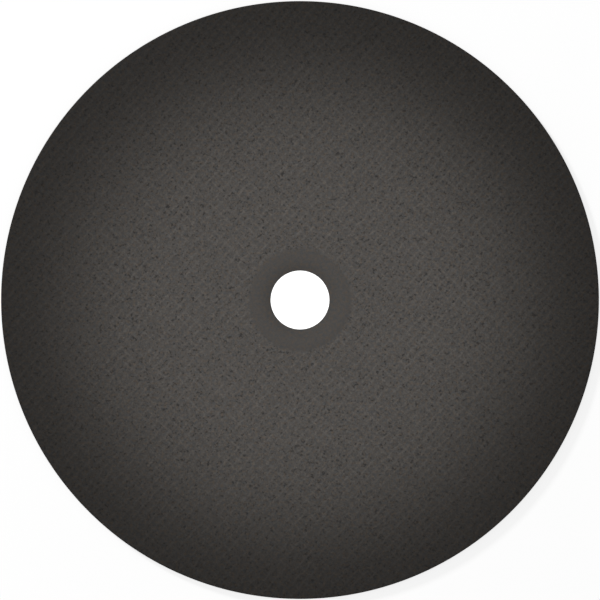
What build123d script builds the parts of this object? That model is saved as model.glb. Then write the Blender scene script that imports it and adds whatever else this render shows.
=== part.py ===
"""Flat reinforced cut-off wheel: one moulded disc with a plain centre bore.

The wheel lies flat. Its axis is Z, the origin is the bore's centre on the lower face, and sizes are millimetres.
Resin-bonded grit is pressed flat between two glass cloths. The cloths stop short of the bore, so both faces keep
a smooth land there for the machine's clamping flanges, level with the crowns of the threads.
"""

import math
import os

from build123d import *

# Wheel
outer_diameter = 406.0
bore_diameter = 40.0
thickness = 4.0
rim_radius = 0.3
bore_chamfer = 0.3

# Smooth land round the bore, and how far the meshed face lies below it
land_diameter = 68.0
mesh_depth = 0.12
land_edge_width = 0.5


def half_section():
    """One half of the wheel cut through its axis, as a face in the XZ plane."""
    bore = bore_diameter / 2
    land = land_diameter / 2
    rim = outer_diameter / 2
    outline = Polyline(
        (bore, bore_chamfer),
        (bore + bore_chamfer, 0),
        (land, 0),
        (land + land_edge_width, mesh_depth),
        (rim, mesh_depth),
        (rim, thickness - mesh_depth),
        (land + land_edge_width, thickness - mesh_depth),
        (land, thickness),
        (bore + bore_chamfer, thickness),
        (bore, thickness - bore_chamfer),
        close=True,
    )
    return Plane.XZ * make_face(outline)


def abrasive_disc():
    """The whole wheel: its section with rounded rim corners, turned about the axis."""
    section = half_section()
    rim_corners = [corner for corner in section.vertices() if math.isclose(corner.X, outer_diameter / 2)]
    return revolve(fillet(rim_corners, rim_radius), Axis.Z)


os.makedirs("parts", exist_ok=True)
export_step(abrasive_disc(), "parts/abrasive_disc.step")
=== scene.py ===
"""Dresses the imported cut-off wheel.

The imprint of the glass cloths is in the mesh, and the gritty resin-bonded finish is a procedural material.
Sizes and places are metres unless a name says otherwise.
"""

from __future__ import annotations

import itertools
import logging
import math
import random
from dataclasses import dataclass, field
from enum import Enum

import bpy
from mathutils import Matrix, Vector
from mathutils.geometry import delaunay_2d_cdt


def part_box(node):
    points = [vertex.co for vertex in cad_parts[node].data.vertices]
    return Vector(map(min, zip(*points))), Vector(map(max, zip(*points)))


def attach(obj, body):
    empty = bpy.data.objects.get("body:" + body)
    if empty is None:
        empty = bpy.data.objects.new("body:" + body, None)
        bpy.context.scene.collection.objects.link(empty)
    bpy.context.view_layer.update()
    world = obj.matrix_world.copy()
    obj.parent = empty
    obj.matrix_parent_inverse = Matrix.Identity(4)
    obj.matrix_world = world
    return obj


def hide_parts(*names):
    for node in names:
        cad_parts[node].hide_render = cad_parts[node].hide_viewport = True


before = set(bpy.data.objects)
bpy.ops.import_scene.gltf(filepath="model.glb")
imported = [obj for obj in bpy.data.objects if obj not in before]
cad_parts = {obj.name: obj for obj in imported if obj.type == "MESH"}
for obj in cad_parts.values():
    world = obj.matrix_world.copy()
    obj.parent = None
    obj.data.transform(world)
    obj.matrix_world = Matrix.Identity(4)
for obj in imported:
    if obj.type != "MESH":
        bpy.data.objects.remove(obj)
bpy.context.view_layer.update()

LOG = logging.getLogger("scene")

NODE = "abrasive_disc"
SLOT = "bonded_abrasive"
SEED = 7

# The photo's frame: its width in pixels, and the width in pixels that the wheel takes
PHOTO_PX = 600
WHEEL_PX = 598.2

# Triangulation works in millimetres, covers the outline's whole inside, and joins points closer than this
MM = 1000.0
WHOLE_INSIDE = 0
JOIN_MM = 1e-5

FULL_TURN = 2 * math.pi

Colour = tuple[float, float, float]
Point = tuple[float, float, float]


class Side(Enum):
    """A face of the wheel, by the direction that it looks in."""

    UPPER = 1
    LOWER = -1


@dataclass(frozen=True)
class WheelSize:
    """Sizes of the wheel, the first two taken from the frame."""

    outer_radius: float
    thickness: float
    bore_radius: float = 0.020
    bore_chamfer: float = 0.0003
    rim_radius: float = 0.0003
    land_radius: float = 0.034
    land_edge_width: float = 0.0005
    mesh_depth: float = 0.00012
    cloth_margin: float = 0.0012

    @classmethod
    def from_frame(cls) -> WheelSize:
        """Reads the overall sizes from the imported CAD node."""
        low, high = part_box(NODE)
        return cls(outer_radius=(high[0] - low[0]) / 2, thickness=high[2] - low[2])

    @property
    def cloth_radius(self) -> float:
        """Radius at which the cloth was die-cut."""
        return self.outer_radius - self.cloth_margin

    @property
    def mesh_start(self) -> float:
        """Radius at which the imprint begins, outside the land's sloping edge."""
        return self.land_radius + self.land_edge_width


@dataclass(frozen=True)
class Drift:
    """How far threads stray from straight, in pitches. Its places are shares of the wheel's radius."""

    skew: float = 0.0
    shear: float = 0.0
    bow: float = 0.0
    bend: float = 0.0
    sag: float = 0.0

    def at(self, x: float | Value, y: float | Value) -> float | Value:
        """The drift at a place, given as numbers or as shader values."""
        return x * (self.skew + y * self.shear + y * y * self.bow + x * x * self.bend) + y * y * self.sag


@dataclass(frozen=True)
class Threads:
    """One family of parallel threads in a glass cloth.

    The paint edge is the height, on a wave with its crests at 1 on the crowns, at which their paler colour, partly a
    painted highlight, begins.
    """

    pitch: float
    angle_degrees: float
    phase: float
    height: float
    paint_edge: float
    drift: Drift
    spare_threads: int = 2

    @property
    def gradient(self) -> tuple[float, float]:
        """How many threads are crossed per metre along X and along Y."""
        turn = math.radians(self.angle_degrees + 90)
        return math.cos(turn) / self.pitch, math.sin(turn) / self.pitch

    def number_at(self, x: float | Value, y: float | Value, reach: float) -> float | Value:
        """Which thread a place lies on, where whole numbers are crowns.

        Args:
            x: Place along X, as a number or as a shader value.
            y: Place along Y, of the same kind.
            reach: The wheel's radius.

        Returns:
            The thread's number, of the same kind as the place.
        """
        per_x, per_y = self.gradient
        return x * per_x + y * per_y + self.drift.at(x * (1 / reach), y * (1 / reach)) + self.phase

    def numbers_within(self, reach: float) -> range:
        """The numbers of all threads that cross the wheel, with some to spare for their drift."""
        last = math.ceil(reach / self.pitch) + self.spare_threads
        return range(-last, last + 1)

    def paint(self, number: Value) -> Value:
        """A mask that is 1 on the crowns and 0 between the threads."""
        return (number * FULL_TURN).cosine().ramp(self.paint_edge, 1.0)


@dataclass(frozen=True)
class Cloth:
    """A leno glass cloth. Its warp swings from side to side at each weft by a share of the pitch."""

    warp: Threads
    weft: Threads
    swing: float = 0.07
    foot: float = 0.15
    height_between_wefts: float = 0.8
    settle_steps: int = 12

    def numbers_at(self, x: float, y: float, reach: float) -> tuple[float, float]:
        """The warp and weft numbers at a place."""
        weft = self.weft.number_at(x, y, reach)
        return self.warp.number_at(x, y, reach) + self.swing * math.cos(math.pi * weft), weft

    def place_of(self, warp: float, weft: float, reach: float) -> tuple[float, float]:
        """The place of a warp and a weft number, found by stepping towards it.

        Args:
            warp: The warp number, whole on a crown.
            weft: The weft number, whole on a crown.
            reach: The wheel's radius.

        Returns:
            The place along X and Y.
        """
        warp_x, warp_y = self.warp.gradient
        weft_x, weft_y = self.weft.gradient
        spread = warp_x * weft_y - warp_y * weft_x
        x = y = 0.0
        for _ in range(self.settle_steps):
            warp_now, weft_now = self.numbers_at(x, y, reach)
            warp_off = warp - warp_now
            weft_off = weft - weft_now
            x += (warp_off * weft_y - weft_off * warp_y) / spread
            y += (weft_off * warp_x - warp_off * weft_x) / spread
        return x, y

    def rise_at(self, x: float, y: float, reach: float) -> float:
        """How far the threads stand above the grit at a place. The warp is highest where it crosses a weft."""
        warp, weft = self.numbers_at(x, y, reach)
        on_warp = max(0.0, 1 - ((warp - round(warp)) / self.foot) ** 2)
        on_weft = max(0.0, 1 - ((weft - round(weft)) / self.foot) ** 2)
        share = self.height_between_wefts + (1 - self.height_between_wefts) * on_weft
        return max(self.warp.height * on_warp * share, self.weft.height * on_weft)

    def masks(self, x: Value, y: Value, reach: float) -> tuple[Value, Value]:
        """Shader copies of the warp and weft crowns, each 1 on a crown and 0 away from it."""
        weft = self.weft.number_at(x, y, reach)
        warp = self.warp.number_at(x, y, reach) + (weft * math.pi).cosine() * self.swing
        return self.warp.paint(warp), self.weft.paint(weft)


def warp_threads(angle_degrees: float, phase: float, drift: Drift) -> Threads:
    """Warp threads, which are the same in both cloths but for how they lie."""
    return Threads(0.005265, angle_degrees, phase, height=0.00012, paint_edge=0.35, drift=drift)


def weft_threads(angle_degrees: float, phase: float, drift: Drift) -> Threads:
    """Weft threads, which are the same in both cloths but for how they lie."""
    return Threads(0.005875, angle_degrees, phase, height=0.00008, paint_edge=0.45, drift=drift)


CLOTHS = {
    Side.UPPER: Cloth(
        warp=warp_threads(47.6, 0.016, Drift(skew=0.013, shear=0.057, sag=-0.076)),
        weft=weft_threads(136.5, -0.147, Drift(skew=-0.272, shear=-0.590, bow=1.391, bend=0.583, sag=-0.169)),
    ),
    Side.LOWER: Cloth(
        warp=warp_threads(-42.4, 0.3, Drift(sag=0.05)),
        weft=weft_threads(46.5, 0.1, Drift(skew=0.2, bow=-0.5, bend=-0.3)),
    ),
}


@dataclass
class MeshData:
    """Vertices and faces gathered before they go to Blender."""

    points: list[Point] = field(default_factory=list)
    faces: list[tuple[int, ...]] = field(default_factory=list)

    def ring(self, radius: float, height: float, count: int) -> list[int]:
        """Adds a level circle of points.

        Args:
            radius: The circle's radius.
            height: Its height.
            count: How many points it has.

        Returns:
            The indices of the points, counter-clockwise from +X.
        """
        start = len(self.points)
        for step in range(count):
            turn = FULL_TURN * step / count
            self.points.append((radius * math.cos(turn), radius * math.sin(turn), height))
        return list(range(start, start + count))

    def band(self, inner: list[int], outer: list[int]) -> None:
        """Joins two rings that have the same number of points, facing up when the first is the inner one."""
        count = len(inner)
        for step in range(count):
            after = (step + 1) % count
            self.faces.append((inner[step], outer[step], outer[after], inner[after]))


@dataclass
class Wheel:
    """The wheel's mesh: both faces with their cloth imprints, the rim and the bore, as one closed surface."""

    size: WheelSize
    bore_points: int = 240
    rim_points: int = 720
    rim_steps: int = 3
    ring_gap: float = 0.0006
    grit_height: float = 0.00001

    def _crossings(self, cloth: Cloth) -> list[tuple[float, float]]:
        """The places of one imprint's points: the feet and crown of each warp thread on those of each weft."""
        reach = self.size.outer_radius
        nearest = self.size.mesh_start + self.ring_gap
        furthest = self.size.cloth_radius - self.ring_gap
        profile = (-cloth.foot, 0.0, cloth.foot)
        threads = (cloth.warp.numbers_within(reach), cloth.weft.numbers_within(reach))
        places = (
            cloth.place_of(warp + off_warp, weft + off_weft, reach)
            for warp, weft, off_warp, off_weft in itertools.product(*threads, profile, profile)
        )
        return [place for place in places if nearest < math.hypot(*place) < furthest]

    def _depth_at(self, cloth: Cloth, x: float, y: float) -> float:
        """How far a point of the imprint lies below the land, with a little unevenness from the grit."""
        rise = cloth.rise_at(x, y, self.size.outer_radius)
        return max(0.0, self.size.mesh_depth - rise - random.uniform(0.0, self.grit_height))

    def _imprint(self, data: MeshData, side: Side, level: float) -> tuple[list[int], list[int]]:
        """Adds one face's imprint, triangulated between its two rings.

        Args:
            data: Where the points and faces go.
            side: Which face it is.
            level: Height of the land on that face.

        Returns:
            The rings of points at its inner and outer edge.
        """
        size = self.size
        cloth = CLOTHS[side]
        rings = MeshData()
        inner = rings.ring(size.mesh_start, 0.0, self.bore_points)
        outer = rings.ring(size.cloth_radius, 0.0, self.rim_points)
        edges = [(ring[n - 1], ring[n]) for ring in (inner, outer) for n in range(len(ring))]
        flat = [Vector((x * MM, y * MM)) for x, y, _ in rings.points]
        flat += [Vector((x * MM, y * MM)) for x, y in self._crossings(cloth)]
        places, _, triangles, sources, _, _ = delaunay_2d_cdt(flat, edges, [], WHOLE_INSIDE, JOIN_MM)
        start = len(data.points)
        index_of = {}
        for number, (place, originals) in enumerate(zip(places, sources)):
            index_of.update((original, start + number) for original in originals)
            x, y = place.x / MM, place.y / MM
            on_ring = any(original < len(rings.points) for original in originals)
            depth = size.mesh_depth if on_ring else self._depth_at(cloth, x, y)
            data.points.append((x, y, level - side.value * depth))
        inner_ring = [index_of[number] for number in inner]
        outer_ring = [index_of[number] for number in outer]
        for triangle in triangles:
            corners = tuple(start + number for number in triangle[:: side.value])
            if not set(corners) <= set(inner_ring):
                data.faces.append(corners)
        return inner_ring, outer_ring

    def _face(self, data: MeshData, side: Side) -> tuple[list[int], list[int]]:
        """Adds one face of the wheel.

        Args:
            data: Where the points and faces go.
            side: Which face it is.

        Returns:
            The innermost ring, at the bore's chamfer, and the outermost one, where the rim's round starts.
        """
        size = self.size
        level = size.thickness if side is Side.UPPER else 0.0
        mesh_level = level - side.value * size.mesh_depth
        random.seed(SEED + side.value)
        mesh_inner, mesh_outer = self._imprint(data, side, level)
        bore = data.ring(size.bore_radius + size.bore_chamfer, level, self.bore_points)
        land = data.ring(size.land_radius, level, self.bore_points)
        rim = data.ring(size.outer_radius - size.rim_radius, mesh_level, self.rim_points)
        for pair in ((bore, land), (land, mesh_inner), (mesh_outer, rim)):
            data.band(*pair[:: side.value])
        return bore, rim

    def _rim(self, data: MeshData, lower: list[int], upper: list[int]) -> None:
        """Adds the rim: a quarter round at each corner and the ground wall between them."""
        size = self.size
        profile = []
        for step in range(1, self.rim_steps + 1):
            turn = math.pi / 2 * step / self.rim_steps
            radius = size.outer_radius - size.rim_radius * (1 - math.sin(turn))
            profile.append((radius, size.mesh_depth + size.rim_radius * (1 - math.cos(turn))))
        profile += [(radius, size.thickness - height) for radius, height in reversed(profile)]
        rings = [lower]
        rings += [data.ring(radius, height, self.rim_points) for radius, height in profile]
        rings.append(upper)
        for below, above in zip(rings, rings[1:]):
            data.band(above, below)

    def _bore(self, data: MeshData, lower: list[int], upper: list[int]) -> None:
        """Adds the bore's wall between its two chamfers."""
        size = self.size
        foot = data.ring(size.bore_radius, size.bore_chamfer, self.bore_points)
        head = data.ring(size.bore_radius, size.thickness - size.bore_chamfer, self.bore_points)
        for below, above in ((lower, foot), (foot, head), (head, upper)):
            data.band(below, above)

    def build(self, material: bpy.types.Material) -> bpy.types.Object:
        """Args:
            material: The finish of the whole wheel.

        Returns:
            The finished object.
        """
        data = MeshData()
        upper_bore, upper_rim = self._face(data, Side.UPPER)
        lower_bore, lower_rim = self._face(data, Side.LOWER)
        self._rim(data, lower_rim, upper_rim)
        self._bore(data, lower_bore, upper_bore)
        mesh = bpy.data.meshes.new("wheel")
        mesh.from_pydata(data.points, [], data.faces)
        mesh.validate()
        mesh.shade_smooth()
        mesh.materials.append(material)
        wheel = bpy.data.objects.new("wheel", mesh)
        bpy.context.collection.objects.link(wheel)
        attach(wheel, "root")
        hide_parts(NODE)
        return wheel


class Value:
    """A number in a shader: arithmetic on it adds Math nodes."""

    def __init__(self, nodes: Nodes, socket: bpy.types.NodeSocket) -> None:
        """Wraps an output socket of one of the nodes."""
        self.nodes = nodes
        self.socket = socket

    def _math(self, operation: str, first: float | Value, second: float | Value = 0.0) -> Value:
        """Adds one Math node."""
        node = self.nodes.add("ShaderNodeMath", {"operation": operation}, {0: first, 1: second})
        return Value(self.nodes, node.outputs[0])

    def __add__(self, other: float | Value) -> Value:
        """The sum."""
        return self._math("ADD", self, other)

    def __sub__(self, other: float | Value) -> Value:
        """The difference."""
        return self._math("SUBTRACT", self, other)

    def __rsub__(self, other: float) -> Value:
        """The difference, taken from a plain number."""
        return self._math("SUBTRACT", other, self)

    def __mul__(self, other: float | Value) -> Value:
        """The product."""
        return self._math("MULTIPLY", self, other)

    def __pow__(self, other: float | Value) -> Value:
        """The power."""
        return self._math("POWER", self, other)

    __radd__ = __add__
    __rmul__ = __mul__

    def cosine(self) -> Value:
        """The cosine of the number in radians."""
        return self._math("COSINE", self)

    def at_least(self, other: float | Value) -> Value:
        """The larger of the two numbers."""
        return self._math("MAXIMUM", self, other)

    def at_most(self, other: float | Value) -> Value:
        """The smaller of the two numbers."""
        return self._math("MINIMUM", self, other)

    def ramp(self, low: float, high: float) -> Value:
        """Smooth step from 0 at low to 1 at high."""
        settings = {"interpolation_type": "SMOOTHSTEP"}
        inputs = {"Value": self, "From Min": low, "From Max": high}
        node = self.nodes.add("ShaderNodeMapRange", settings, inputs)
        return Value(self.nodes, node.outputs["Result"])


class Nodes:
    """A node tree and the few ways in which nodes are added to it."""

    def __init__(self, tree: bpy.types.NodeTree) -> None:
        """Starts on a tree that Blender has made."""
        self.tree = tree

    def feed(self, target: bpy.types.NodeSocket, source: object) -> None:
        """Links a value or socket to a target, or writes a constant on it."""
        if isinstance(source, Value):
            source = source.socket
        if isinstance(source, bpy.types.NodeSocket):
            self.tree.links.new(source, target)
        else:
            target.default_value = source

    def add(self, kind: str, settings: dict | None = None, inputs: dict | None = None) -> bpy.types.Node:
        """Adds a node.

        Args:
            kind: The node's type.
            settings: Its own properties, set before its sockets.
            inputs: Values or links by socket name or number.

        Returns:
            The new node.
        """
        node = self.tree.nodes.new(kind)
        for key, value in (settings or {}).items():
            setattr(node, key, value)
        for key, value in (inputs or {}).items():
            self.feed(node.inputs[key], value)
        return node

    def noise(self, position: bpy.types.NodeSocket, scale: float, detail: float = 1.0) -> Value:
        """Noise over the object, from 0 to 1."""
        inputs = {"Vector": position, "Scale": scale, "Detail": detail}
        return Value(self, self.add("ShaderNodeTexNoise", None, inputs).outputs["Fac"])

    def mix(self, factor: object, first: object, second: object, blend: str = "MIX") -> bpy.types.NodeSocket:
        """Mixes two colours.

        Args:
            factor: The share of the second colour.
            first: The first colour, as a constant or a socket.
            second: The second colour, likewise.
            blend: How they mix.

        Returns:
            The socket with the mixed colour.
        """
        settings = {"data_type": "RGBA", "blend_type": blend}
        # The Mix node's factor and its two colours come at these places among its sockets of all data types
        return self.add("ShaderNodeMix", settings, {0: factor, 6: first, 7: second}).outputs[2]


class Shader(Nodes):
    """A new material with its surface shader."""

    def __init__(self, name: str) -> None:
        """Makes the material."""
        self.material = bpy.data.materials.new(name)
        self.material.use_nodes = True
        super().__init__(self.material.node_tree)
        self.surface = self.tree.nodes["Principled BSDF"]

    def dress(self, **inputs: object) -> bpy.types.Material:
        """Feeds the surface shader's sockets, named with _ for each space, and returns the material."""
        for name, source in inputs.items():
            self.feed(self.surface.inputs[name.replace("_", " ")], source)
        return self.material


def opaque(colour: Colour) -> tuple[float, float, float, float]:
    """The colour with full alpha, as colour sockets take it."""
    return (*colour, 1.0)


def grey(level: float) -> tuple[float, float, float, float]:
    """An opaque grey of that level."""
    return opaque((level, level, level))


@dataclass(frozen=True)
class Speckle:
    """Noise that sets in between two levels, and how strongly it then shows."""

    scale: float
    low: float
    high: float
    strength: float
    detail: float = 1.0

    def mask(self, shader: Shader, position: bpy.types.NodeSocket) -> Value:
        """A mask that is 0 below the levels and 1 above them."""
        return shader.noise(position, self.scale, self.detail).ramp(self.low, self.high)


@dataclass(frozen=True)
class GritFinish:
    """Dark resin-bonded grit with paler threads, whose crowns also carry a painted highlight, and pits darkened with
    painted shade. Its colours are linear.
    """

    body: Colour = (0.078, 0.0712, 0.0651)
    # Paler thread tone, partly a painted highlight on the crowns of the ridges
    crown_tone_and_highlight: Colour = (0.115, 0.105, 0.096)
    # Painted shade inside the pits
    pit_shade: Colour = (0.020, 0.018, 0.017)
    warm: Colour = (0.105, 0.078, 0.055)
    cool: Colour = (0.055, 0.062, 0.068)
    light_grain: Colour = (0.20, 0.185, 0.165)

    # Speckles. Cool grains and the pits, darkened with painted shade, show where their noise is low, and the others
    # where it is high
    patches: Speckle = Speckle(scale=110.0, low=0.3, high=0.7, strength=0.6, detail=2.0)
    warm_grains: Speckle = Speckle(scale=520.0, low=0.5, high=0.72, strength=0.55)
    cool_grains: Speckle = Speckle(scale=520.0, low=0.3, high=0.5, strength=0.5)
    shaded_pits: Speckle = Speckle(scale=640.0, low=0.30, high=0.42, strength=0.8)
    light_grains: Speckle = Speckle(scale=1700.0, low=0.66, high=0.8, strength=0.45)
    fine_scale: float = 900.0
    fine_detail: float = 3.0

    # Threads, whose paler crowns are partly painted highlight, and how much of a pit's painted shade one hides
    crown_and_highlight_strength: float = 0.5
    weft_share: float = 0.75
    most_crown: float = 1.15
    crown_over_pit: float = 0.6

    # The land beside the mesh: its shade, and the share of the mesh's speckle that it has
    land_shade: float = 0.9
    land_light_grains: float = 0.3
    land_fine: float = 0.5
    mesh_fine: float = 1.4

    # The speckle calms towards the rim by this share, from this share of the radius on
    rim_calm: float = 0.4
    calm_start: float = 0.5

    # Roughness and relief
    roughness: float = 0.7
    roughness_spread: float = 0.2
    sheen_level: float = 0.25
    bump_strength: float = 0.5
    bump_distance: float = 0.00012
    fine_relief: float = 0.6
    grain_relief: float = 0.4
    pit_relief: float = 0.6
    crown_relief: float = 0.3

    # How softly the painted zones end: inside and outside the land's edge, and at the cloth's rim
    land_blur_inside: float = 0.001
    land_blur_outside: float = 0.002
    cloth_blur: float = 0.001
    side_blur: float = 0.05

    def _crowns(self, size: WheelSize, split: tuple[Value, Value, Value], radius: Value, on_mesh: Value) -> Value:
        """A mask of the threads on both faces.

        Args:
            size: The wheel's sizes.
            split: The place along X, Y and Z.
            radius: The distance from the axis.
            on_mesh: A mask of the meshed zone.

        Returns:
            The mask, a little above 1 where threads cross.
        """
        x, y, z = split
        on_cloth = on_mesh * (1 - radius.ramp(size.cloth_radius - self.cloth_blur, size.cloth_radius))
        is_upper = z.ramp(size.thickness * (0.5 - self.side_blur), size.thickness * (0.5 + self.side_blur))
        upper_warp, upper_weft = CLOTHS[Side.UPPER].masks(x, y, size.outer_radius)
        lower_warp, lower_weft = CLOTHS[Side.LOWER].masks(x, y, size.outer_radius)
        warp = (upper_warp * is_upper + lower_warp * (1 - is_upper)) * on_cloth
        weft = (upper_weft * is_upper + lower_weft * (1 - is_upper)) * on_cloth
        return (warp + weft * self.weft_share).at_most(self.most_crown)

    def material(self, size: WheelSize) -> bpy.types.Material:
        """Makes the finish.

        Args:
            size: The wheel's sizes, which place the land and the cloth.

        Returns:
            The material.
        """
        shader = Shader(SLOT)
        position = shader.add("ShaderNodeTexCoord").outputs["Object"]
        split = shader.add("ShaderNodeSeparateXYZ", None, {0: position})
        x, y, z = (Value(shader, output) for output in split.outputs)
        radius = (x * x + y * y) ** 0.5
        on_mesh = radius.ramp(size.land_radius - self.land_blur_inside, size.mesh_start + self.land_blur_outside)
        fade = 1 - radius.ramp(size.outer_radius * self.calm_start, size.outer_radius) * self.rim_calm

        patchy = self.patches.mask(shader, position) * self.patches.strength + (1 - self.patches.strength)
        crowns = self._crowns(size, (x, y, z), radius, on_mesh) * patchy
        fine = shader.noise(position, self.fine_scale, self.fine_detail)
        grains = shader.noise(position, self.light_grains.scale)
        light = grains.ramp(self.light_grains.low, self.light_grains.high)
        light = light * (on_mesh * (1 - self.land_light_grains) + self.land_light_grains)
        warm = self.warm_grains.mask(shader, position)
        cool = 1 - self.cool_grains.mask(shader, position)
        # Mask of the pits, where painted shade darkens the grit
        shaded_pits = (1 - self.shaded_pits.mask(shader, position)) * on_mesh * (1 - crowns * self.crown_over_pit).at_least(0.0)

        colour = shader.mix(warm * self.warm_grains.strength, opaque(self.body), opaque(self.warm))
        colour = shader.mix(cool * self.cool_grains.strength, colour, opaque(self.cool))
        # Paler thread crowns: partly their real tone, partly a painted highlight on the ridges
        colour = shader.mix(crowns * fade * self.crown_and_highlight_strength, colour, opaque(self.crown_tone_and_highlight))
        # Painted shade in the pits
        colour = shader.mix(shaded_pits * fade * self.shaded_pits.strength, colour, opaque(self.pit_shade))
        colour = shader.mix(light * fade * self.light_grains.strength, colour, opaque(self.light_grain))
        contrast = on_mesh * (self.mesh_fine - self.land_fine) + self.land_fine
        shade = (fine - 0.5) * contrast * fade + (self.land_shade + on_mesh * (1 - self.land_shade))
        tint = shader.add("ShaderNodeCombineColor", None, {0: shade, 1: shade, 2: shade}).outputs[0]

        relief = fine * self.fine_relief + grains * self.grain_relief
        relief = relief - shaded_pits * self.pit_relief + crowns * self.crown_relief
        bump_inputs = {"Strength": self.bump_strength, "Distance": self.bump_distance, "Height": relief}
        bump = shader.add("ShaderNodeBump", None, bump_inputs)
        return shader.dress(
            Base_Color=shader.mix(1.0, colour, tint, "MULTIPLY"),
            Roughness=fine * self.roughness_spread + (self.roughness - self.roughness_spread / 2),
            Normal=bump.outputs["Normal"],
            Specular_IOR_Level=self.sheen_level,
        )


@dataclass(frozen=True)
class Light:
    """A lamp that looks at the wheel. At level 1 a colour square to it renders as written.

    A reach makes it a spot lamp whose pool of light fades out at that distance from the wheel's axis.
    """

    place: Point
    level: float
    width: float
    reach: float | None = None
    blend: float = 0.0

    def _spot(self, name: str, distance: float) -> bpy.types.Light:
        """The spot lamp at that distance above the wheel."""
        lamp = bpy.data.lights.new(name, "SPOT")
        lamp.energy = self.level * 4 * math.pi**2 * distance**2
        lamp.spot_size = 2 * math.atan(self.reach / distance)
        lamp.spot_blend = self.blend
        lamp.shadow_soft_size = self.width
        return lamp

    def _panel(self, name: str, distance: float) -> bpy.types.Light:
        """The square lamp at that distance from the wheel's centre, made up for the slant of its light."""
        lamp = bpy.data.lights.new(name, "AREA")
        lamp.energy = self.level * math.pi**2 * distance**3 / self.place[2]
        lamp.size = self.width
        return lamp

    def build(self, name: str) -> bpy.types.Object:
        """Hangs the lamp. A spot lamp looks straight down and a panel at the wheel's centre.

        Args:
            name: The lamp's name.

        Returns:
            The lamp object.
        """
        place = Vector(self.place)
        is_spot = self.reach is not None
        target = Vector((place.x, place.y, 0.0)) if is_spot else Vector((0.0, 0.0, 0.0))
        offset = target - place
        lamp = self._spot(name, offset.length) if is_spot else self._panel(name, offset.length)
        holder = bpy.data.objects.new(name, lamp)
        holder.location = place
        holder.rotation_euler = offset.to_track_quat("-Z", "Y").to_euler()
        bpy.context.collection.objects.link(holder)
        return holder


@dataclass
class Studio:
    """White ground, camera and lights of the photo."""

    size: WheelSize
    lens_mm: float = 85.0
    sensor_mm: float = 36.0
    clip_start: float = 0.01
    clip_end: float = 100.0
    fill_level: float = 0.185
    ground_width: float = 12.0
    ground_drop: float = 0.00002
    ground_colour: float = 0.85
    ground_glow: float = 0.75
    ground_roughness: float = 0.9
    lights: tuple[Light, ...] = (
        Light(place=(0.0, -0.004, 2.2), level=0.54, width=0.03, reach=0.198, blend=0.88),
        Light(place=(-2.7, 2.7, 1.65), level=0.10, width=0.6),
    )

    def _add_camera(self) -> bpy.types.Object:
        """Hangs the camera straight above the wheel, so far up that the wheel fills the photo's width."""
        view_width = 2 * self.size.outer_radius * PHOTO_PX / WHEEL_PX
        camera = bpy.data.cameras.new("camera")
        camera.lens = self.lens_mm
        camera.sensor_width = self.sensor_mm
        camera.clip_start = self.clip_start
        camera.clip_end = self.clip_end
        holder = bpy.data.objects.new("camera", camera)
        holder.location = (0.0, 0.0, self.size.thickness + view_width * self.lens_mm / self.sensor_mm)
        bpy.context.collection.objects.link(holder)
        bpy.context.scene.camera = holder
        return holder

    def _add_world(self) -> None:
        """White to the eye, also through glass, and a plain grey as light."""
        world = bpy.data.worlds.new("world")
        bpy.context.scene.world = world
        world.use_nodes = True
        nodes = Nodes(world.node_tree)
        path = nodes.add("ShaderNodeLightPath")
        seen = Value(nodes, path.outputs["Is Camera Ray"]).at_least(Value(nodes, path.outputs["Is Transmission Ray"]))
        sky = nodes.mix(seen, grey(self.fill_level), grey(1.0))
        nodes.feed(nodes.tree.nodes["Background"].inputs["Color"], sky)

    def _add_ground(self) -> bpy.types.Object:
        """The white table that the wheel lies on, bright to the camera but still shaded by the wheel."""
        half = self.ground_width / 2
        corners = ((-half, -half), (half, -half), (half, half), (-half, half))
        mesh = bpy.data.meshes.new("ground")
        mesh.from_pydata([(x, y, -self.ground_drop) for x, y in corners], [], [(0, 1, 2, 3)])
        shader = Shader("ground_white")
        seen = shader.add("ShaderNodeLightPath").outputs["Is Camera Ray"]
        material = shader.dress(
            Base_Color=grey(self.ground_colour),
            Emission_Color=shader.mix(seen, grey(0.0), grey(self.ground_glow)),
            Emission_Strength=1.0,
            Roughness=self.ground_roughness,
        )
        mesh.materials.append(material)
        ground = bpy.data.objects.new("ground", mesh)
        bpy.context.collection.objects.link(ground)
        return ground

    def build(self) -> list[bpy.types.Object]:
        """Sets up the whole studio and returns what is in it."""
        self._add_world()
        bpy.context.scene.view_settings.view_transform = "Standard"
        lamps = [light.build(f"lamp_{number}") for number, light in enumerate(self.lights)]
        return [self._add_ground(), *lamps, self._add_camera()]


def main() -> None:
    """Builds the wheel and its studio, and reports each piece."""
    size = WheelSize.from_frame()
    wheel = Wheel(size).build(GritFinish().material(size))
    LOG.info("%s: %d points, %d faces", wheel.name, len(wheel.data.vertices), len(wheel.data.polygons))
    for thing in Studio(size).build():
        LOG.info("%s: placed", thing.name)


if __name__ == "__main__":
    logging.basicConfig(level=logging.INFO)
    main()
